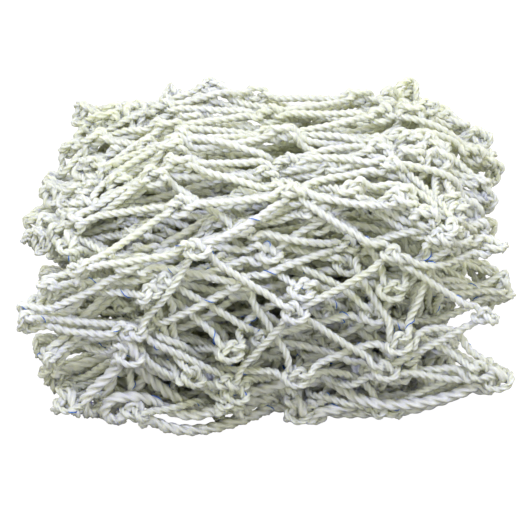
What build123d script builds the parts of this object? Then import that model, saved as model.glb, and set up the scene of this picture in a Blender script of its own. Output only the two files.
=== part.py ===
from build123d import *
import os
from math import floor, pi, radians, sin, tan, cos

os.makedirs("parts", exist_ok=True)

# A bale of knotted tennis netting: the net is folded back and forth along its
# length into flat passes that lie on each other. Millimetres, +Z up, front to -Y,
# X along the passes, origin under the middle of the bale.

# Cords
TWINE_D = 3.5          # netting twine
SELVEDGE_D = 5.0       # heavier cord along the two long edges of the net
WRAP_THICK = 2.2       # a knot's own turns, pulled flat around both cords
WRAP_LONG = 4.4        # and how far they reach along the cords
GAP = 0.10             # cords and knots never touch closer than this

# Mesh
ROWS = 18              # netting twines, side by side
STEP_X = 44.0          # one mesh bar along the pass, 45 measured along the cord
FIRST_KNOT = 0.607     # first knot, in bars from the start of the first pass
KNOT_FLAT = 5.0        # straight length of each cord inside its knot

# Bale
PASS_BARS = [4.5] * 9 + [4.0, 3.5, 3.5]      # mesh bars in each pass, bottom first
PASS_GAP = 8.2         # height from one pass to the next
FOLD = 13.2            # cord length taken by one fold at the end of a pass
FOLD_OUT = 5.5         # how far a fold stands past its pass
DEEPEST_PASS = 4.5     # the pass where the bale is deepest, counted from the floor
ROW_STEP_MAX = 6.60    # knot line to knot line in that pass
ROW_STEP_MIN = 6.30    # and in the passes at the very bottom and top
SWAY = 1.6             # how far a whole pass drifts to the front or the back

PASSES = len(PASS_BARS)
WRAP_OUT = WRAP_THICK + GAP
LOWEST = SELVEDGE_D / 2 + WRAP_OUT


def row_step(p):
    """Distance between two knot lines in pass p."""
    away = abs(p - DEEPEST_PASS) / (PASSES - 1 - DEEPEST_PASS)
    return ROW_STEP_MAX - (ROW_STEP_MAX - ROW_STEP_MIN) * min(1.0, away) ** 2


def pass_z(p):
    return LOWEST + PASS_GAP * p


def line_y(p, j, x):
    """Where knot line j of pass p is, front to back, at x."""
    drift = SWAY * sin(2 * pi * (0.37 * p + x / 310.0))
    return (j - ROWS / 2) * row_step(p) + drift


def pass_ends():
    """Where each pass starts and ends along X."""
    ends = []
    at = -(PASS_BARS[0] * STEP_X - FOLD) / 2
    for p, bars in enumerate(PASS_BARS):
        way = 1 if p % 2 == 0 else -1
        end = at + way * (bars * STEP_X - FOLD)
        ends.append((at, end))
        at = end
    return ends


ENDS = pass_ends()


def knot_stations():
    """Every knot column in order along the net: its pass and its x."""
    stations = []
    before = 0.0
    number = 0
    for p, bars in enumerate(PASS_BARS):
        start, end = ENDS[p]
        way = 1 if end > start else -1
        while FIRST_KNOT + number < before + bars:
            stations.append((p, start + way * STEP_X * (FIRST_KNOT + number - before)))
            number += 1
        before += bars
    return stations


STATIONS = knot_stations()


def pair_offsets(j):
    """How far the two cords of a knot on line j stand to the front and back of it."""
    if j == 0:
        return -(SELVEDGE_D + GAP) / 2, (TWINE_D + GAP) / 2
    if j == ROWS:
        return -(TWINE_D + GAP) / 2, (SELVEDGE_D + GAP) / 2
    return -(TWINE_D + GAP) / 2, (TWINE_D + GAP) / 2


def fold_points(p, line):
    """The two corners of the fold that follows pass p, line being a number of lines."""
    end = ENDS[p][1]
    x = end + (FOLD_OUT if end > 0 else -FOLD_OUT)
    return [(x, line_y(p, line, x), pass_z(p)),
            (x, line_y(p + 1, line, x), pass_z(p + 1))]


def twine_points(row):
    """A netting twine zigzags between knot lines row and row + 1."""
    points = []
    for number, (p, x) in enumerate(STATIONS):
        if number and p != STATIONS[number - 1][0]:
            points += fold_points(p - 1, row + 0.5)
        j = row if (number + row) % 2 == 0 else row + 1
        side = pair_offsets(j)[1] if j == row else pair_offsets(j)[0]
        way = 1 if ENDS[p][1] > ENDS[p][0] else -1
        for half in (-0.5, 0.5):
            points.append((x + way * half * KNOT_FLAT, line_y(p, j, x) + side, pass_z(p)))
    return points


def selvedge_points(j):
    """A selvedge cord follows knot line 0 or the last one, slack between its knots."""
    side = pair_offsets(j)[0] if j == 0 else pair_offsets(j)[1]
    slack = 1.6 if j == 0 else -1.6
    points = []
    for number, (p, x) in enumerate(STATIONS):
        if number and p != STATIONS[number - 1][0]:
            for corner in fold_points(p - 1, j):
                points.append((corner[0], corner[1] + side, corner[2]))
        way = 1 if ENDS[p][1] > ENDS[p][0] else -1
        y = line_y(p, j, x) + side
        if (number + j) % 2 == 0:
            points.append((x - way * KNOT_FLAT / 2, y, pass_z(p)))
            points.append((x + way * KNOT_FLAT / 2, y, pass_z(p)))
        else:
            points.append((x, y - slack, pass_z(p)))
    return points


def rounded(points):
    """Straight runs joined by tangent arcs, as one wire, and its tightest radius."""
    corners = [Vector(*point) for point in points]
    edges = []
    radii = []
    start = corners[0]
    for before, corner, after in zip(corners, corners[1:], corners[2:]):
        into = corner - before
        out = after - corner
        half_turn = radians(into.get_angle(out)) / 2
        cut = 0.45 * min(into.length, out.length)
        radius = cut / tan(half_turn)
        inward = (out.normalized() - into.normalized()).normalized()
        arc_start = corner - into.normalized() * cut
        arc_end = corner + out.normalized() * cut
        arc_middle = corner + inward * (radius / cos(half_turn) - radius)
        edges.append(Edge.make_line(start, arc_start))
        edges.append(Edge.make_three_point_arc(arc_start, arc_middle, arc_end))
        radii.append(radius)
        start = arc_end
    edges.append(Edge.make_line(start, corners[-1]))
    return Wire(edges), min(radii)


def make_cord(name, points, diameter):
    wire, tightest = rounded(points)
    with BuildPart() as cord:
        with BuildSketch(Plane(origin=wire @ 0, z_dir=wire % 0)):
            Circle(diameter / 2)
        sweep(path=wire)
    cord.part.label = name
    export_step(cord.part, "parts/" + name + ".step")
    section = pi * diameter ** 2 / 4
    print(name, "length", round(wire.length), "tightest radius", round(tightest, 2),
          "volume over section x length", round(cord.part.volume / section / wire.length, 4))


def make_knots(name, j):
    """The knots of one knot line, each a band of flattened turns around two cords."""
    thick = SELVEDGE_D if j in (0, ROWS) else TWINE_D
    front, back = pair_offsets(j)
    hole = thick + 2 * GAP
    places = []
    for number, (p, x) in enumerate(STATIONS):
        if (number + j) % 2 == 0:
            places.append((x, line_y(p, j, x) + (front + back) / 2, pass_z(p)))
    with BuildPart() as band:
        with BuildSketch(Plane.YZ):
            SlotCenterToCenter(back - front, hole + 2 * WRAP_THICK)
            SlotCenterToCenter(back - front, hole, mode=Mode.SUBTRACT)
        extrude(amount=WRAP_LONG / 2, both=True)
    with BuildPart() as knots:
        with Locations(*places):
            add(band.part)
    knots.part.label = name
    export_step(knots.part, "parts/" + name + ".step")
    print(name, "knots", len(knots.part.solids()))


for row in range(ROWS):
    make_cord("netting_twine_%02d" % (row + 1), twine_points(row), TWINE_D)

make_cord("front_selvedge_cord", selvedge_points(0), SELVEDGE_D)
make_cord("back_selvedge_cord", selvedge_points(ROWS), SELVEDGE_D)

make_knots("front_selvedge_knots", 0)
for line in range(1, ROWS):
    make_knots("knot_row_%02d" % line, line)
make_knots("back_selvedge_knots", ROWS)
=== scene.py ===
import math

import bpy
import numpy as np
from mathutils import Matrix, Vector


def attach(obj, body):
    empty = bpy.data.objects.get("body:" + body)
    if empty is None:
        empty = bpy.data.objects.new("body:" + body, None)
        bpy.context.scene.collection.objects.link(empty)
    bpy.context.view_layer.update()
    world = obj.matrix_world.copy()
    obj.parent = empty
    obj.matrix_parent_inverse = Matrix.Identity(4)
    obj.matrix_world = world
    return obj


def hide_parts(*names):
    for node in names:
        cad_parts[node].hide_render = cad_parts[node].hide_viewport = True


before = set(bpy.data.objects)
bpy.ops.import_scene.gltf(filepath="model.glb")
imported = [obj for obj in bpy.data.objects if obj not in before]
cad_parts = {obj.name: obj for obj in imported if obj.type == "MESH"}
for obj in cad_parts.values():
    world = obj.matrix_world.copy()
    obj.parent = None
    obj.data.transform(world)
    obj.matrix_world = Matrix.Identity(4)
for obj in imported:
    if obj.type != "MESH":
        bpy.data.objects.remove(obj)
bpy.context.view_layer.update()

# Lengths are in millimetres, in the frame's axes.
TWINE_D = 3.5
SELVEDGE_D = 5.0
TWINE_LAY = 2.9                 # one turn of the strands, in cord thicknesses
SELVEDGE_LAY = 3.4
TRACER_R = 0.2
TRACER_DASH = (2.6, 5.5)        # the shortest and longest stretch of a tracer that shows
TRACER_EVERY = (30, 90)

# The net
ROWS = 18                       # twines
STATIONS = 59                   # knots along one twine, a bar apart
FIRST_KNOT = 0.607              # from the net's end to the first of them, in bars
BAR = 45.0
PIECES = 5                      # straight pieces that one bar bends at
SELVEDGE_SPAN = 84.0            # selvedge cord from knot to knot
SELVEDGE_PIECES = 10

# How it is laid out at first: flat passes inside, and passes over them that hang down all round
CORE_BARS = [4.3] * 3           # mesh bars in each pass
COVER_BARS = [4.4, 4.4, 4.5, 4.5, 4.6, 4.6, 4.7, 4.7, 4.8, 4.8]
PASS_BARS = CORE_BARS + COVER_BARS
PASS_START = np.concatenate([[0.0], np.cumsum(PASS_BARS)])
PASSES = len(PASS_BARS)
INNER_STATIONS = int(sum(PASS_BARS[:4]))    # stations mostly out of sight, drawn coarser
LAID_BAR = 44.0                 # length of a bar along a pass
TURN = 12                       # how far from its end a pass bends into the next
TURN_OUT = 5
LOWEST_LAID = 6
CORE_ROW = 5.0                  # from one knot line to the next
CORE_STEP = 14.0                # from one pass to the next
CORE_WAVE = 4
CORE_HOLLOW = 22
TOP = 103.0                     # middle of the uppermost cords
COVER_STEP = 4.9
COVER_LINE = [0, 9, 18, 28, 40, 55, 73, 94, 117, 141]     # knot lines of the outermost pass
LONGEST_REACH = 150
# half of what lies flat on top and the radius of the edge beside it: across the net and along
# it, for the outermost pass, and what they change by with each pass further in
EDGE_FLAT, EDGE_FLAT_STEP = 45, 3.1
EDGE_RADIUS, EDGE_RADIUS_STEP = 25, 1.2
END_FLAT, END_FLAT_STEP = 60, 3
END_RADIUS, END_RADIUS_STEP = 40, 3.6
NARROWER = 0.16                 # how much shorter a pass is where it hangs
LEAN = 0.30
ROUGH, ROUGH_STEP = 0.22, 0.06  # how far the noise moves a pass
HOLLOW_X, HOLLOW_WIDTH = 7, 24  # the hollow low in the middle of the front
HOLLOW_RISE, HOLLOW_DEPTH = 14, 12

# How it is relaxed
KNOT_R = 3.7                    # room that a knot takes up
PRESSED = 0.94                  # cords may come a little closer than their thickness
ROUNDS = 320
NEAR = 14.5                     # pieces further apart than this can't touch soon
BEND_SPAN = 17.2                # a bend opens until its outer points are this far apart
SINK, LAST_SINK = 0.03, 0.01    # in each round, and in the last fifth of them
KNOT_LOWEST, SELVEDGE_KNOT_LOWEST = 4.9, 6.2
OFF_FLOOR = 0.15
LENGTH_PUSH, OPEN_PUSH, STRAIGHT_PUSH, APART_PUSH = 1.4, 0.18, 0.42, 0.9
LOAF_PUSH, ROOF_PUSH = 0.25, 0.4
# the loaf that it is held in: half its size low down and how much smaller it is at the top and
# in front, the nick low in the middle of the front, and how much lower the roof is at both
# ends, along the front and back, and at the left end
HALF_WIDTH, TOP_NARROWER, FRONT_NARROWER = 98, 34, 7
HALF_DEPTH, TOP_SHALLOWER = 71, 16
FRONT_NICK, NICK_X, NICK_WIDTH, NICK_TOP = 20, 5, 15, 34
END_LOWER, EDGE_LOWER, LEFT_LOWER = 28, 6, 13

# Steps along a cord's centre line: in bars and in knots, in sight and out of it
BAR_STEP, INNER_BAR_STEP = 1.1, 1.8
KNOT_STEP, INNER_KNOT_STEP = 0.75, 1.2
KNOT_THIN = 0.86                # cords are squeezed thinner inside a knot
KNOT_SQUEEZE = (0.56, 0.78, 0.70)
SELVEDGE_KNOT = 1.15            # the knots on a selvedge cord are this much bigger

rng = np.random.default_rng(13)


def rise(value, start, width):
    """0 up to start, 1 from start + width on, and a straight line between."""
    return np.clip((value - start) / width, 0, 1)


def smooth_noise(key, a, b, scale):
    """Waves of random directions and phases, about -1 to 1, the same for the same key."""
    own = np.random.default_rng(key)
    total = np.zeros_like(a, dtype=float)
    for _ in range(5):
        turn = own.uniform(0, 2 * math.pi)
        length = scale * own.uniform(0.7, 1.8)
        phase = own.uniform(0, 2 * math.pi)
        wave = (a * math.cos(turn) + b * math.sin(turn)) * 2 * math.pi / length
        total += np.sin(wave + phase)
    return total / 2.6


def over_edge(a, flat, radius):
    """A length laid from the middle over a rounded edge: how far out, and how far down."""
    away = np.abs(a)
    angle = np.clip((away - flat) / radius, 0, math.pi / 2)
    out = np.minimum(away, flat) + radius * np.sin(angle)
    down = radius * (1 - np.cos(angle))
    down += np.maximum(away - flat - radius * math.pi / 2, 0)
    return np.sign(a) * out, down


def core_surface(p, a, v, y0, arch, front):
    """A flat pass inside the bale."""
    x = a + CORE_WAVE * smooth_noise(100 + p, a * 0.5, v * 6, 60)
    y = y0 * CORE_ROW + CORE_WAVE * smooth_noise(200 + p, a, v * 8, 120)
    z = LOWEST_LAID + CORE_STEP * p + CORE_WAVE * smooth_noise(300 + p, a, v * 8, 70)
    y = y + CORE_HOLLOW * arch * front
    return np.stack([x, y, z], -1)


def cover_surface(p, a, y0, arch, front):
    """A pass that lies on the ones before it and hangs over their edges."""
    inner = PASSES - 1 - p          # passes that come to lie over this one
    height = TOP - COVER_STEP * inner
    flat = EDGE_FLAT - EDGE_FLAT_STEP * inner
    radius = EDGE_RADIUS - EDGE_RADIUS_STEP * inner
    reach = min(LONGEST_REACH, flat + radius * math.pi / 2 + height - radius - 3)
    b = np.interp(np.abs(y0), range(len(COVER_LINE)), COVER_LINE)
    b = b * np.sign(y0) * reach / COVER_LINE[-1]
    side = rise(np.abs(b) - flat, 4, 40)
    side = side * side * (3 - 2 * side)
    a = a * (1 - NARROWER * side)
    lean = LEAN * math.sin(2.3 * p + 1)
    rough = ROUGH + ROUGH_STEP * inner
    a = a + lean * b + 8 * rough * smooth_noise(100 + p, a * 0.5, b, 60)
    b = (b + 6 * rough * smooth_noise(200 + p, a, b, 90)
         - HOLLOW_RISE * arch * side * front * np.sign(b))
    x, down_x = over_edge(a, END_FLAT + END_FLAT_STEP * inner,
                          END_RADIUS - END_RADIUS_STEP * inner)
    y, down_y = over_edge(b, flat, radius)
    z = (height - down_x * (1 - 0.6 * side) - down_y
         + 3 * rough * smooth_noise(300 + p, a, b, 60))
    y = y + HOLLOW_DEPTH * arch * side * front * rise(-z, -60, 60)
    low = np.maximum(LOWEST_LAID - z, 0)
    y = y + np.sign(y) * low * 0.4
    return np.stack([x, y, np.maximum(z, LOWEST_LAID)], -1)


def pass_surface(p, a, v):
    """Where a pass lies: a along it from its middle, v the knot line."""
    y0 = v - ROWS / 2
    arch = np.exp(-((a - HOLLOW_X) / HOLLOW_WIDTH) ** 2)
    front = rise(-y0, 0, ROWS / 2)
    if p < len(CORE_BARS):
        return core_surface(p, a, v, y0, arch, front)
    return cover_surface(p, a, y0, arch, front)


def place(s, v):
    """A first place for the net's points, s in bars along it and v in knot lines."""
    s, v = np.asarray(s, float), np.asarray(v, float)
    result = np.zeros(s.shape + (3,))
    number = np.clip(np.searchsorted(PASS_START, s, side="right") - 1, 0, PASSES - 1)
    for p in range(PASSES):
        mine = number == p
        if not mine.any():
            continue
        local = s[mine] - PASS_START[p] - PASS_BARS[p] / 2
        way = 1 if p % 2 == 0 else -1
        a = way * local * LAID_BAR
        here = pass_surface(p, a, v[mine])
        to_end = (PASS_BARS[p] / 2 - np.abs(local)) * LAID_BAR
        for side in (-1, 1):
            q = p + side
            if not 0 <= q < PASSES:
                continue
            near = (np.sign(local) == side) & (to_end < TURN)
            if not near.any():
                continue
            w = (0.5 + 0.5 * to_end[near] / TURN)[:, None]
            there = pass_surface(q, a[near], v[mine][near])
            here[near] = w * here[near] + (1 - w) * there
            here[near, 0] += np.sign(a[near]) * TURN_OUT * (1 - to_end[near] / TURN)
        result[mine] = here
    return result


# ---- the net's points: one at each knot, and the ones between two knots that a cord bends at
points = []
segments = []      # first point, second point, rest length, radius
bends = []         # three points in a row
chains = {}        # cord number: its points, and the knot lines that it goes to
knot_at = {}
knot_points = []


def add_points(s, v):
    start = len(points)
    points.extend(place(s, v))
    return list(range(start, len(points)))


def join(first, last, s0, v0, s1, v1, count, rest, radius):
    """Points between two knots and the pieces that join them."""
    t = np.arange(1, count) / count
    ids = add_points(s0 + (s1 - s0) * t, v0 + (v1 - v0) * t)
    row = [first] + ids + [last]
    for a, b in zip(row, row[1:]):
        segments.append((a, b, rest, radius))
    for a, b, c in zip(row, row[1:], row[2:]):
        bends.append((a, b, c))
    return row


def knot_stations(j):
    """The stations that have a knot on knot line j."""
    return [n for n in range(STATIONS) if (n + j) % 2 == 0]


for j in range(ROWS + 1):
    stations = knot_stations(j)
    ids = add_points(np.array(stations) + FIRST_KNOT, np.full(len(stations), float(j)))
    for n, i in zip(stations, ids):
        knot_at[n, j] = i
        knot_points.append(i)

for r in range(ROWS):
    row = []
    line_of = [r if (n + r) % 2 == 0 else r + 1 for n in range(STATIONS)]
    for n in range(STATIONS - 1):
        rest = BAR / PIECES * rng.uniform(0.965, 1.015)
        part = join(knot_at[n, line_of[n]], knot_at[n + 1, line_of[n + 1]],
                    n + FIRST_KNOT, line_of[n], n + 1 + FIRST_KNOT, line_of[n + 1],
                    PIECES, rest, TWINE_D / 2)
        row += part if not row else part[1:]
    chains[r] = (row, line_of)

for number, j in ((ROWS, 0), (ROWS + 1, ROWS)):
    stations = knot_stations(j)
    row = []
    for n, m in zip(stations, stations[1:]):
        rest = SELVEDGE_SPAN / SELVEDGE_PIECES * rng.uniform(0.96, 1.03)
        part = join(knot_at[n, j], knot_at[m, j], n + FIRST_KNOT, j, m + FIRST_KNOT, j,
                    SELVEDGE_PIECES, rest, SELVEDGE_D / 2)
        row += part if not row else part[1:]
    chains[number] = (row, [j] * len(stations))

P = np.array(points)
P += rng.normal(0, 0.5, P.shape)
# a knot is a piece of no length, after the pieces of the cords
SA = np.array([s[0] for s in segments] + knot_points)
SB = np.array([s[1] for s in segments] + knot_points)
REST = np.array([s[2] for s in segments])
RADIUS = np.array([s[3] * PRESSED for s in segments] + [KNOT_R] * len(knot_points))
BENDS = np.array(bends)
LINKS = len(segments)
is_knot = np.zeros(len(P), bool)
is_knot[knot_points] = True
# no point's middle goes lower than this
LOWEST = np.where(is_knot, KNOT_LOWEST, TWINE_D / 2 + OFF_FLOOR)
for row, _ in (chains[ROWS], chains[ROWS + 1]):
    LOWEST[row] = np.where(is_knot[row], SELVEDGE_KNOT_LOWEST, SELVEDGE_D / 2 + OFF_FLOOR)
neighbours = {}
for a, b, _, _ in segments:
    neighbours.setdefault(a, set()).add(b)
    neighbours.setdefault(b, set()).add(a)


def pairs_near(P, reach):
    """Pairs of pieces whose middles are within reach, by sorting them into cells."""
    middle = (P[SA] + P[SB]) / 2
    cell = np.floor((middle - middle.min(0)) / reach).astype(np.int64) + 1
    size = cell.max(0) + 2
    key = (cell[:, 0] * size[1] + cell[:, 1]) * size[2] + cell[:, 2]
    order = np.argsort(key, kind="stable")
    ranked = key[order]
    found = []
    offsets = [(dx, dy, dz) for dx in (-1, 0, 1) for dy in (-1, 0, 1) for dz in (-1, 0, 1)
               if (dx, dy, dz) >= (0, 0, 0)]
    for dx, dy, dz in offsets:
        other = key + (dx * size[1] + dy) * size[2] + dz
        low = np.searchsorted(ranked, other, side="left")
        high = np.searchsorted(ranked, other, side="right")
        count = high - low
        first = np.repeat(np.arange(len(key)), count)
        step = np.arange(count.sum()) - np.repeat(np.cumsum(count) - count, count)
        second = order[np.repeat(low, count) + step]
        if (dx, dy, dz) == (0, 0, 0):
            keep = first < second
            first, second = first[keep], second[keep]
        found.append(np.stack([first, second], 1))
    pair = np.concatenate(found)
    gap = middle[pair[:, 0]] - middle[pair[:, 1]]
    pair = pair[(gap ** 2).sum(1) < reach ** 2]
    a, b = pair[:, 0], pair[:, 1]
    shares = (SA[a] == SA[b]) | (SA[a] == SB[b]) | (SB[a] == SA[b]) | (SB[a] == SB[b])
    pair = pair[~shares]
    # a knot doesn't push the second piece of a bar that it ties
    a, b = pair[:, 0], pair[:, 1]
    link = np.zeros(len(pair), bool)
    for one, other in ((a, b), (b, a)):
        knots = np.nonzero(one >= LINKS)[0]
        for n in knots:
            near = neighbours[SA[one[n]]]
            if SA[other[n]] in near or SB[other[n]] in near:
                link[n] = True
    return pair[~link]


def closest(p1, q1, p2, q2):
    """Where two straight pieces come nearest, as shares of each."""
    d1, d2, r = q1 - p1, q2 - p2, p1 - p2
    a = (d1 * d1).sum(1) + 1e-9
    e = (d2 * d2).sum(1) + 1e-9
    f = (d2 * r).sum(1)
    c = (d1 * r).sum(1)
    b = (d1 * d2).sum(1)
    det = a * e - b * b
    s = np.where(det > 1e-6, np.clip((b * f - c * e) / np.maximum(det, 1e-6), 0, 1), 0.5)
    t = np.clip((b * s + f) / e, 0, 1)
    s = np.clip((b * t - c) / a, 0, 1)
    return s, t


def spread(total, weight, index, move, share):
    """Adds up the moves of each point and how many there are."""
    for k in range(3):
        total[:, k] += np.bincount(index, move[:, k] * share, len(total))
    weight += np.bincount(index, share, len(weight))


def squeeze(P):
    """Keeps the bale in the rough shape of its loaf, softly."""
    x, y, z = P[:, 0], P[:, 1], P[:, 2]
    half_width = (HALF_WIDTH - TOP_NARROWER * rise(z, 60, 46) ** 2.4
                  - FRONT_NARROWER * rise(-y, 30, 40))
    over = np.abs(x) - half_width
    push = over > 0
    P[push, 0] -= np.sign(x[push]) * over[push] * LOAF_PUSH
    nick = FRONT_NICK * np.exp(-((x - NICK_X) / NICK_WIDTH) ** 2) * rise(-z, -NICK_TOP, 22)
    half_depth = HALF_DEPTH - TOP_SHALLOWER * rise(z, 56, 48) ** 2.2 - np.where(y < 0, nick, 0)
    over = np.abs(y) - half_depth
    push = over > 0
    P[push, 1] -= np.sign(y[push]) * over[push] * LOAF_PUSH
    roof = (TOP - END_LOWER * rise(np.abs(x), 52, 46) ** 2
            - EDGE_LOWER * rise(np.abs(y), 50, 20) - LEFT_LOWER * rise(-x, 38, 36))
    P[:, 2] = np.where(z > roof, z - (z - roof) * ROOF_PUSH, z)


def keep_lengths(P):
    """Pulls the ends of each piece towards their wanted distance."""
    d = P[SB[:LINKS]] - P[SA[:LINKS]]
    length = np.sqrt((d * d).sum(1)) + 1e-9
    move = d * ((length - REST) / length * 0.5)[:, None]
    total, weight = np.zeros_like(P), np.zeros(len(P))
    one = np.ones(LINKS)
    spread(total, weight, SA[:LINKS], move, one)
    spread(total, weight, SB[:LINKS], -move, one)
    P += total / np.maximum(weight, 1)[:, None] * LENGTH_PUSH


def straighten(P):
    """Opens bends that are too tight, and moves each bend's middle towards the line across it."""
    a, b, c = BENDS.T
    d = P[c] - P[a]
    length = np.sqrt((d * d).sum(1)) + 1e-9
    short = np.maximum(BEND_SPAN - length, 0)
    move = d * (short / length * OPEN_PUSH)[:, None]
    total, weight = np.zeros_like(P), np.zeros(len(P))
    one = np.ones(len(a))
    spread(total, weight, a, -move, one)
    spread(total, weight, c, move, one)
    lift = (P[a] + P[c]) / 2 - P[b]
    spread(total, weight, b, lift * STRAIGHT_PUSH, one)
    P += total / np.maximum(weight, 1)[:, None]


def push_apart(P, pair):
    """Moves pieces that overlap away from each other."""
    a, b = pair.T
    pa, qa, pb, qb = P[SA[a]], P[SB[a]], P[SA[b]], P[SB[b]]
    s, t = closest(pa, qa, pb, qb)
    ca = pa + (qa - pa) * s[:, None]
    cb = pb + (qb - pb) * t[:, None]
    d = cb - ca
    length = np.sqrt((d * d).sum(1)) + 1e-6
    depth = RADIUS[a] + RADIUS[b] - length
    hit = depth > 0
    a, b, s, t, d = a[hit], b[hit], s[hit], t[hit], d[hit]
    move = d * (depth[hit] / length[hit] * 0.5)[:, None]
    total, weight = np.zeros_like(P), np.zeros(len(P))
    spread(total, weight, SA[a], -move, 1 - s)
    spread(total, weight, SB[a], -move, s)
    spread(total, weight, SA[b], move, 1 - t)
    spread(total, weight, SB[b], move, t)
    P += total / np.maximum(weight, 0.6)[:, None] * APART_PUSH


def relax(P, rounds):
    """Lets the net sink and settle: bars keep their length, and cords push each other apart."""
    pair = None
    for n in range(rounds):
        if n % 8 == 0:
            pair = pairs_near(P, NEAR)
        P[:, 2] -= SINK if n < rounds * 0.8 else LAST_SINK
        for _ in range(2):
            keep_lengths(P)
        straighten(P)
        push_apart(P, pair)
        squeeze(P)
        P[:, 2] = np.maximum(P[:, 2], LOWEST)
    return P


P = relax(P, ROUNDS)


# ---- the knots: one sheet bend is pulled tight here, and every knot is that one


def smooth_line(control):
    """A centripetal Catmull-Rom curve through the points, finely sampled."""
    first = control[0] * 2 - control[1]
    last = control[-1] * 2 - control[-2]
    c = np.vstack([first, control, last])
    p0, p1, p2, p3 = c[:-3], c[1:-2], c[2:-1], c[3:]
    gap = [np.sqrt(np.linalg.norm((b - a)[:, :3], axis=1)) + 1e-6 for a, b in
           ((p0, p1), (p1, p2), (p2, p3))]
    t0 = np.zeros(len(p0))
    t1 = t0 + gap[0]
    t2 = t1 + gap[1]
    t3 = t2 + gap[2]

    def between(a, b, x, y, t):
        share = ((t - a) / (b - a))[:, None]
        return x * (1 - share) + y * share

    out = []
    for k in range(12):
        t = t1 + (t2 - t1) * k / 12
        a1 = between(t0, t1, p0, p1, t)
        a2 = between(t1, t2, p1, p2, t)
        a3 = between(t2, t3, p2, p3, t)
        b1 = between(t0, t2, a1, a2, t)
        b2 = between(t1, t3, a2, a3, t)
        out.append(between(t1, t2, b1, b2, t))
    return np.vstack([np.stack(out, 1).reshape(-1, control.shape[1]), control[-1]])


def even_points(line, step):
    """The line again, with its points a step apart."""
    length = np.concatenate([[0], np.cumsum(np.linalg.norm(np.diff(line, axis=0), axis=1))])
    at = np.linspace(0, length[-1], int(round(length[-1] / step)) + 1)
    return np.stack([np.interp(at, length, line[:, k]) for k in range(3)], 1)


def tie_knot(d):
    """The centre lines of two cords of thickness d through a tight sheet bend."""
    bight = [(-5.5, -2.6, 0), (-2.2, -2.2, 0), (-1.0, -1.0, 0), (-1.0, 0.8, 0),
             (-0.7, 1.9, 0), (0, 2.3, 0), (0.7, 1.9, 0), (1.0, 0.8, 0), (1.0, -1.0, 0),
             (2.2, -2.2, 0), (5.5, -2.6, 0)]
    tied = [(-5.5, 3.2, -1.4), (-2.0, 2.6, -1.4), (-0.3, 1.5, -1.3), (0.0, 0.8, 0.0),
            (0.4, 0.5, 1.6), (1.3, -0.3, 2.1), (2.3, -0.9, 1.0), (2.3, -1.2, -0.6),
            (1.0, -1.2, -1.4), (-1.0, -1.2, -1.4), (-2.3, -1.2, -0.6), (-2.3, -0.9, 0.6),
            (-1.0, -0.4, 1.3), (0.6, -0.1, 0.95), (1.4, 0.6, 1.2), (2.4, 1.8, 1.2),
            (5.5, 3.2, 0.8)]
    step = 0.36 * d
    cords = [even_points(smooth_line(np.array(c) * d), step) for c in (bight, tied)]
    Q = np.vstack(cords)
    split, n = len(cords[0]), len(Q)
    link = np.array([(k, k + 1) for k in range(n - 1) if k != split - 1])
    i, j = np.triu_indices(n, 1)
    same = (i < split) == (j < split)
    keep = ~(same & (j - i < 4))
    i, j, same = i[keep], j[keep], same[keep]
    need = np.where(same & (j - i < 7), d * 0.72, d * 0.93)
    ends = [0, split - 1, split, n - 1]
    pull = np.array([(-1, -0.28, 0), (1, -0.28, 0), (-1, 0.28, 0), (1, 0.28, 0)])
    where = Q[ends].copy()
    slack = np.ones(2)
    for turn in range(150):
        where += pull * (0.05 * d * np.repeat(slack, 2))[:, None]
        for _ in range(40):
            Q[ends] = where
            e = Q[link[:, 1]] - Q[link[:, 0]]
            length = np.linalg.norm(e, axis=1)
            move = e * ((length - step) / length * 0.45)[:, None]
            for k in range(3):
                Q[:, k] += np.bincount(link[:, 0], move[:, k], n)
                Q[:, k] -= np.bincount(link[:, 1], move[:, k], n)
            e = Q[j] - Q[i]
            length = np.linalg.norm(e, axis=1) + 1e-9
            hit = length < need
            move = e[hit] * ((need[hit] - length[hit]) / length[hit] * 0.6)[:, None]
            one, other = i[hit], j[hit]
            count = np.bincount(one, minlength=n) + np.bincount(other, minlength=n)
            share = 1 / np.maximum(count, 1)
            for k in range(3):
                Q[:, k] += np.bincount(other, move[:, k], n) * share
                Q[:, k] -= np.bincount(one, move[:, k], n) * share
            middle = (Q[:-2] + Q[2:]) / 2 - Q[1:-1]
            middle[split - 2:split] = 0
            Q[1:-1] += middle * 0.04
        stretch = np.linalg.norm(Q[link[:, 1]] - Q[link[:, 0]], axis=1) / step
        # each cord is pulled until it is taut
        slack[1] = stretch[split - 1:].mean() < 1.07
        slack[0] = stretch[:split - 1].mean() < 1.03
        if not slack.any():
            break
    body = Q[np.abs(Q[:, 0]) < 1.3 * d]
    Q = Q - (body.min(0) + body.max(0)) / 2
    Q = Q * KNOT_SQUEEZE
    made = []
    for cord in (Q[:split], Q[split:]):
        inside = np.nonzero(np.abs(cord[:, 0]) < 1.35 * d)[0]
        made.append(cord[inside[0]:inside[-1] + 1:2])
    return made


def unit(v):
    return v / (np.linalg.norm(v) + 1e-9)


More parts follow.
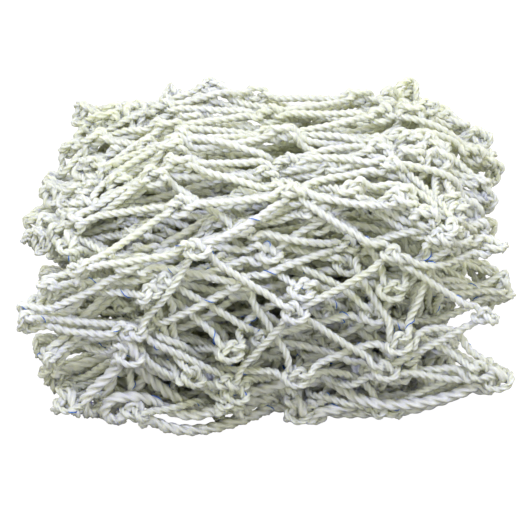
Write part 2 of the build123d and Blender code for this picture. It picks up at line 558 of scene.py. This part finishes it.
def knot_frames():
    """Axes of each knot: along the net, across it and out of it."""
    ends = {}
    for c, (row, _) in chains.items():
        knots_on = [k for k, i in enumerate(row) if is_knot[i]]
        for k in knots_on:
            before = P[row[k]] - P[row[k - 1]] if k > 0 else None
            after = P[row[k + 1]] - P[row[k]] if k + 1 < len(row) else None
            ends.setdefault(row[k], []).append((c, before, after))
    frames = {}
    for (n, j), i in knot_at.items():
        along = np.zeros(3)
        across = np.zeros(3)
        for c, before, after in ends[i]:
            # the cord on the front side of a line bends towards it, and away from it
            front = (c == j - 1) or (j == 0 and c == ROWS)
            sign = -1 if front else 1
            for d in (before, after):
                if d is not None:
                    along += unit(d)
            if before is not None:
                across -= sign * unit(before)
            if after is not None:
                across += sign * unit(after)
        e = unit(along)
        across = across - e * (across @ e)
        if np.linalg.norm(across) < 0.15:
            across = across + np.array([0.0, 0.6, 0.15])
            across = across - e * (across @ e)
        f = unit(across)
        g = np.cross(e, f)
        frames[n, j] = (P[i], e, f, g)
    return frames


FRAMES = knot_frames()
KNOT = tie_knot(TWINE_D)


def cord_line(c):
    """Control points of one cord through its bars and knots, with a wanted step and thickness."""
    row, line_of = chains[c]
    stations = list(range(STATIONS)) if c < ROWS else knot_stations(line_of[0])
    out = []
    station = 0
    for i in row:
        inner = stations[min(station, len(stations) - 1)] < INNER_STATIONS
        if not is_knot[i]:
            out.append((*P[i], INNER_BAR_STEP if inner else BAR_STEP, 1.0))
            continue
        n = stations[station]
        j = line_of[station]
        station += 1
        centre, e, f, g = FRAMES[n, j]
        flip = 1 if (n * 7 + j * 3) % 4 < 2 else -1     # the knots face both ways
        front = (c == j - 1) or (c == ROWS)
        size = SELVEDGE_KNOT if j in (0, ROWS) else 1.0
        for u, w, h in KNOT[0 if front else 1]:
            at = centre + (e * u + f * w + g * (h * flip)) * size
            out.append((*at, INNER_KNOT_STEP if inner else KNOT_STEP, KNOT_THIN))
    return np.array(out)


def even_line(line, coarser):
    """The line at its own wanted steps, and the length up to each point."""
    piece = np.linalg.norm(np.diff(line[:, :3], axis=0), axis=1)
    length = np.concatenate([[0], np.cumsum(piece)])
    count = np.concatenate([[0], np.cumsum(piece / (line[1:, 3] * coarser))])
    at = np.linspace(0, count[-1], int(count[-1]) + 1)
    return (np.stack([np.interp(at, count, line[:, k]) for k in range(3)], 1),
            np.interp(at, count, length), np.interp(at, count, line[:, 4]))


def frames_along(line):
    """A normal that turns as little as it can along the line."""
    tangent = np.gradient(line, axis=0)
    tangent /= np.linalg.norm(tangent, axis=1)[:, None]
    normal = np.zeros_like(line)
    start = np.cross(tangent[0], [0.0, 0.0, 1.0])
    normal[0] = start / np.linalg.norm(start)
    n = normal[0]
    for k in range(1, len(line)):
        t = tangent[k]
        n = n - t * (n[0] * t[0] + n[1] * t[1] + n[2] * t[2])
        n = n / math.sqrt(n[0] * n[0] + n[1] * n[1] + n[2] * n[2])
        normal[k] = n
    return tangent, normal, np.cross(tangent, normal)


# one strand of the rope's section, as angles and shares of the radius
SECTION_ANGLE = np.radians([-60, -32, 0, 32])
SECTION_SIZE = np.array([0.40, 0.83, 1.0, 0.83])


def add_mesh(name, verts, quads, caps):
    """An object with these corners in millimetres, four-sided faces and end faces, all smooth."""
    mesh = bpy.data.meshes.new(name)
    quads, nq = np.asarray(quads), len(quads)
    mesh.vertices.add(len(verts))
    mesh.vertices.foreach_set("co", (verts * 0.001).ravel())
    loops = np.concatenate([quads.ravel()] + [np.asarray(cap) for cap in caps])
    mesh.loops.add(len(loops))
    mesh.loops.foreach_set("vertex_index", loops.astype(np.int32))
    cap_starts = nq * 4 + np.cumsum([0] + [len(cap) for cap in caps[:-1]])
    starts = np.concatenate([np.arange(nq) * 4, cap_starts])
    mesh.polygons.add(nq + len(caps))
    mesh.polygons.foreach_set("loop_start", starts.astype(np.int32))
    mesh.update(calc_edges=True)
    mesh.validate()
    mesh.polygons.foreach_set("use_smooth", np.ones(len(mesh.polygons), bool))
    piece = bpy.data.objects.new(name, mesh)
    bpy.context.scene.collection.objects.link(piece)
    return piece


def tracer_mesh(name, course, diameter, lay, outer_from, key):
    """Short stretches of a thin yarn that comes up on one strand of the rope, here and there."""
    line, at, tight, tangent, normal, side = course
    own = np.random.default_rng(key)
    turn = (at / lay * 2 * math.pi)[:, None]
    out = np.cos(turn) * normal + np.sin(turn) * side
    middle = line + out * (tight[:, None] * diameter / 2 + TRACER_R * 0.35)
    verts, quads, caps = [], [], []
    where = outer_from + own.uniform(5, 25)
    while where < at[-1] - 12:
        first, last = np.searchsorted(at, [where, where + own.uniform(*TRACER_DASH)])
        where += own.uniform(*TRACER_EVERY)
        if last - first < 2:
            continue
        path, up = middle[first:last + 1], out[first:last + 1]
        way = np.gradient(path, axis=0)
        way /= np.linalg.norm(way, axis=1)[:, None]
        across = np.cross(way, up)
        start, count = sum(len(v) for v in verts), len(path)
        slim = np.full(count, TRACER_R)
        slim[[0, -1]] *= 0.3
        turn = np.radians([0, 72, 144, 216, 288])
        ring = (path[:, None, :] + (np.cos(turn) * slim[:, None])[:, :, None] * up[:, None, :]
                + (np.sin(turn) * slim[:, None])[:, :, None] * across[:, None, :])
        verts.append(ring.reshape(-1, 3))
        i = start + np.arange(count - 1)[:, None] * 5
        k = np.arange(5)[None, :]
        k2 = (k + 1) % 5
        quads.append(np.stack([i + k, i + 5 + k, i + 5 + k2, i + k2], -1).reshape(-1, 4))
        caps.append([start + k for k in range(5)])
        caps.append([start + (count - 1) * 5 + k for k in range(5)][::-1])
    return add_mesh(name, np.vstack(verts), np.vstack(quads), caps)


def rope_course(line, coarser):
    """The line evenly stepped, with its lengths, thicknesses and frames."""
    line, at, tight = even_line(line, coarser)
    return (line, at, tight) + frames_along(line)


def rope_mesh(name, course, diameter, lay):
    """A three-strand rope along the course."""
    line, at, tight, tangent, normal, side = course
    angle = np.concatenate([SECTION_ANGLE + s * 2 * math.pi / 3 for s in range(3)])
    size = np.tile(SECTION_SIZE, 3) * diameter / 2
    turn = at / lay * 2 * math.pi
    a = angle[None, :] + turn[:, None]      # a right-hand lay
    ring = (line[:, None, :]
            + (np.cos(a) * size * tight[:, None])[:, :, None] * normal[:, None, :]
            + (np.sin(a) * size * tight[:, None])[:, :, None] * side[:, None, :])
    count, around = a.shape
    i = np.arange(count - 1)[:, None] * around
    k = np.arange(around)[None, :]
    k2 = (k + 1) % around
    quads = np.stack([i + k, i + k2, i + around + k2, i + around + k], -1).reshape(-1, 4)
    caps = [[k for k in range(around)][::-1],
            [(count - 1) * around + k for k in range(around)]]
    piece = add_mesh(name, ring.reshape(-1, 3), quads, caps)
    mesh = piece.data
    uv = mesh.uv_layers.new(name="rope")
    loop_vertex = np.zeros(len(mesh.loops), np.int32)
    mesh.loops.foreach_get("vertex_index", loop_vertex)
    coords = np.zeros((len(mesh.loops), 2))
    coords[:, 0] = at[loop_vertex // around] * 0.001
    column = (loop_vertex % around).astype(float)
    sides = quads.size
    wrap = np.arange(sides) % 4
    column[:sides] += np.where((column[:sides] == 0) & ((wrap == 1) | (wrap == 2)), around, 0)
    coords[:, 1] = column / around
    uv.data.foreach_set("uv", coords.ravel())
    return piece


# ---- materials
def new_material(name, roughness):
    mat = bpy.data.materials.new(name)
    mat.use_nodes = True
    shader = mat.node_tree.nodes["Principled BSDF"]
    shader.inputs["Roughness"].default_value = roughness
    return mat, mat.node_tree, shader


def noise_node(nt, vector, scale, detail=2.0):
    node = nt.nodes.new("ShaderNodeTexNoise")
    node.inputs["Scale"].default_value = scale
    node.inputs["Detail"].default_value = detail
    nt.links.new(vector, node.inputs["Vector"])
    return node.outputs["Fac"]


def ramp_node(nt, factor, first, low, second, high):
    """The colour low up to first, high from second on."""
    node = nt.nodes.new("ShaderNodeValToRGB")
    stops = node.color_ramp.elements
    stops[0].position = first
    stops[0].color = (*low, 1)
    stops[1].position = second
    stops[1].color = (*high, 1)
    nt.links.new(factor, node.inputs["Fac"])
    return node.outputs["Color"]


def add_bump(nt, shader, height, strength, distance):
    node = nt.nodes.new("ShaderNodeBump")
    node.inputs["Strength"].default_value = strength
    node.inputs["Distance"].default_value = distance
    nt.links.new(height, node.inputs["Height"])
    nt.links.new(node.outputs["Normal"], shader.inputs["Normal"])


def rope_material(name, colour, tone):
    """Shiny white filaments that run along the strands, over broad patches of two tones."""
    mat, nt, shader = new_material(name, 0.26)
    shader.inputs["Specular IOR Level"].default_value = 1.0
    shader.inputs["Sheen Weight"].default_value = 0.1
    shader.inputs["Subsurface Weight"].default_value = 0.65
    shader.inputs["Subsurface Radius"].default_value = (1.0, 0.95, 0.5)
    shader.inputs["Subsurface Scale"].default_value = 0.003
    uv = nt.nodes.new("ShaderNodeUVMap")
    uv.uv_map = "rope"
    stretch = nt.nodes.new("ShaderNodeMapping")
    stretch.inputs["Scale"].default_value = (90, 40, 1)
    nt.links.new(uv.outputs["UV"], stretch.inputs["Vector"])
    filaments = noise_node(nt, stretch.outputs["Vector"], 1.0, 3.0)
    where = nt.nodes.new("ShaderNodeTexCoord").outputs["Object"]
    patches = ramp_node(nt, noise_node(nt, where, 22.0), 0.3, tone, 0.7, colour)
    grey = ramp_node(nt, filaments, 0.25, (0.80, 0.80, 0.72), 0.6, (1, 1, 1))
    shade = nt.nodes.new("ShaderNodeMix")
    shade.data_type = "RGBA"
    shade.blend_type = "MULTIPLY"
    shade.inputs[0].default_value = 0.5
    nt.links.new(patches, shade.inputs[6])
    nt.links.new(grey, shade.inputs[7])
    nt.links.new(shade.outputs[2], shader.inputs["Base Color"])
    add_bump(nt, shader, filaments, 1.0, 0.0003)
    return mat


def yarn_material():
    mat, nt, shader = new_material("tracer_yarn", 0.4)
    where = nt.nodes.new("ShaderNodeTexCoord").outputs["Object"]
    noise = noise_node(nt, where, 900.0)
    blue = ramp_node(nt, noise, 0.35, (0.0, 0.09, 0.5), 0.65, (0.0, 0.2, 0.75))
    nt.links.new(blue, shader.inputs["Base Color"])
    add_bump(nt, shader, noise, 0.2, 0.00005)
    return mat


twine_mat = rope_material("laid_twine", (0.92, 0.94, 0.81), (0.87, 0.90, 0.65))
# painted shade: the selvedge colours are darker and greyer than the twine's, standing in for the
# shade low on the bale where the selvedge cords hang
selvedge_painted_shade_mat = rope_material("laid_selvedge_cord_painted_shade", (0.84, 0.85, 0.80), (0.78, 0.79, 0.66))
tracer_mat = yarn_material()


# ---- the pieces
for c in range(ROWS + 2):
    is_twine = c < ROWS
    thick = TWINE_D if is_twine else SELVEDGE_D
    name = "twine_%02d" % (c + 1) if is_twine else ("front_selvedge", "back_selvedge")[c - ROWS]
    course = rope_course(smooth_line(cord_line(c)), 1.0)
    lay = thick * (TWINE_LAY if is_twine else SELVEDGE_LAY)
    piece = rope_mesh(name, course, thick, lay)
    if c < 4 or c >= ROWS - 2:
        yarn = tracer_mesh(name + "_tracer", course, thick, lay, INNER_STATIONS * BAR, c)
        yarn.data.materials.append(tracer_mat)
        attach(yarn, "root")
    piece.data.materials.append(twine_mat if is_twine else selvedge_painted_shade_mat)
    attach(piece, "root")
    if is_twine:
        nodes = ["netting_twine_%02d" % (c + 1)]
        if c < ROWS - 1:
            nodes.append("knot_row_%02d" % (c + 1))
        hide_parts(*nodes)
    else:
        end = "front" if c == ROWS else "back"
        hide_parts(end + "_selvedge_cord", end + "_selvedge_knots")


# ---- floor, light, camera, in metres
FLOOR_HALF = 3
MIDDLE = (0, 0, 0.05)
LENS, SENSOR = 128, 36
ELEVATION = math.radians(34.5)
DISTANCE = 0.785
AIM = Vector((-0.002, 0.0, 0.041))


def paper_material():
    """Nearly black to the bale but white to the camera, so it hardly lights from below."""
    mat, nt, shader = new_material("paper", 0.9)
    shader.inputs["Base Color"].default_value = (0.08, 0.08, 0.08, 1)
    shader.inputs["Emission Color"].default_value = (1, 1, 1, 1)
    seen = nt.nodes.new("ShaderNodeLightPath")
    glow = nt.nodes.new("ShaderNodeMath")
    glow.operation = "MULTIPLY"
    glow.inputs[1].default_value = 1.0
    nt.links.new(seen.outputs["Is Camera Ray"], glow.inputs[0])
    nt.links.new(glow.outputs[0], shader.inputs["Emission Strength"])
    return mat


def add_floor():
    mesh = bpy.data.meshes.new("floor")
    h = FLOOR_HALF
    mesh.from_pydata([(-h, -h, 0), (h, -h, 0), (h, h, 0), (-h, h, 0)], [], [(0, 1, 2, 3)])
    mesh.materials.append(paper_material())
    floor = bpy.data.objects.new("floor", mesh)
    bpy.context.scene.collection.objects.link(floor)


def add_world(colour, strength):
    world = bpy.data.worlds.new("studio")
    bpy.context.scene.world = world
    world.use_nodes = True
    sky = world.node_tree.nodes["Background"]
    sky.inputs["Color"].default_value = (*colour, 1)
    sky.inputs["Strength"].default_value = strength


def add_lamp(name, where, size, power, colour):
    """A square lamp that shines at the middle of the bale."""
    data = bpy.data.lights.new(name, "AREA")
    data.shape = "SQUARE"
    data.size = size
    data.energy = power
    data.color = colour
    lamp = bpy.data.objects.new(name, data)
    bpy.context.scene.collection.objects.link(lamp)
    lamp.location = where
    way = Vector(MIDDLE) - Vector(where)
    lamp.rotation_euler = way.to_track_quat("-Z", "Y").to_euler()


def add_camera():
    data = bpy.data.cameras.new("camera")
    data.lens = LENS
    data.sensor_width = SENSOR
    camera = bpy.data.objects.new("camera", data)
    bpy.context.scene.collection.objects.link(camera)
    bpy.context.scene.camera = camera
    back = Vector((0, -math.cos(ELEVATION), math.sin(ELEVATION)))
    camera.location = AIM + back * DISTANCE
    camera.rotation_euler = (AIM - camera.location).to_track_quat("-Z", "Y").to_euler()


add_floor()
add_world((1.0, 1.0, 0.93), 1.2)
add_lamp("key", (-0.07, -0.30, 0.60), 0.10, 1.10, (0.86, 0.90, 1.60))
add_lamp("top", (0.1, 0.35, 1.1), 0.8, 1.3, (0.92, 0.96, 1.2))
bpy.context.scene.view_settings.view_transform = "Standard"     # the default greys the whites
add_camera()
